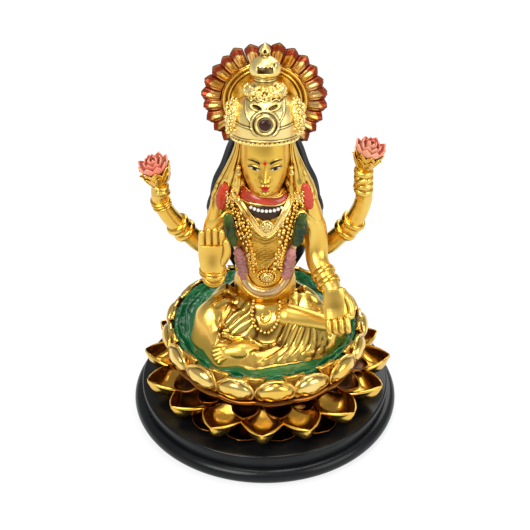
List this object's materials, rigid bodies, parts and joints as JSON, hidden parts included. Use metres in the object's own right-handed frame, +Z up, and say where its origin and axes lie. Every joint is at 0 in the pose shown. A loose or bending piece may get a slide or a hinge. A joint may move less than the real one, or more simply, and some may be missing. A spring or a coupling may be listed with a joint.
{
  "type": "seated deity statue",
  "caption": "Gilded four-armed deity seated cross-legged on a double lotus, with crown, halo and held flowers, on a round black turned plinth.",
  "frame": {"origin": "centre of the plinth's underside, on the surface it stands on", "axes": "+Z up, the figure faces -Y, +X is on the right of someone looking at its face"},
  "size_m": [0.095, 0.095, 0.1437],
  "materials": {
    "felt": "matt felt",
    "plinth_black": "black lacquer, glossy",
    "steel": "plain zinc plated steel",
    "core_bronze": "dark bronze wash over resin",
    "gold": "plated gold over cast resin, polished",
    "pale_gold": "plated pale gold over cast resin, polished",
    "green": "glossy green enamel",
    "hair_black": "satin black enamel",
    "pink": "satin coral pink enamel",
    "rim_red": "red glaze over gold",
    "red": "glossy red enamel",
    "pearl": "pearl white enamel",
    "jewel": "dark red glassy enamel",
    "leaf_green": "dark green enamel",
    "rose": "dusty pink enamel",
    "sash": "pearly pink gold enamel"
  },
  "bodies": {
    "root": {"base_felt": "felt", "plinth": "plinth_black", "fixing_screws": "steel", "lotus_core": "core_bronze", "lower_petals": "gold", "upper_petals": "gold", "seat_pad": "green", "centre_pin": "steel", "legs": "pale_gold", "waist_pin": "steel", "torso": "gold", "arm_front_right": "gold", "arm_front_left": "gold", "arm_rear_right": "gold", "arm_rear_left": "gold", "arm_pins": "steel", "head": "gold", "neck_pin": "steel", "hair": "hair_black", "veil": "pale_gold", "earrings": "pale_gold", "crown": "pale_gold", "crown_jewel": "jewel", "crown_beads": "pale_gold", "halo_plate": "gold", "halo_rim": "rim_red", "flower_cup_right": "gold", "flower_cup_left": "gold", "blossom_right": "pink", "blossom_left": "pink", "bangles": "pale_gold", "armlets": "pale_gold", "blouse_collar": "red", "pearl_necklace": "pearl", "v_collar": "pale_gold", "collar_pendant": "pale_gold", "bead_chain": "gold", "belly_pendant": "pale_gold", "lap_chain": "gold", "garland_red": "red", "garland_green": "leaf_green", "garland_pink": "rose", "waist_sash": "sash"}
  },
  "joints": []
}
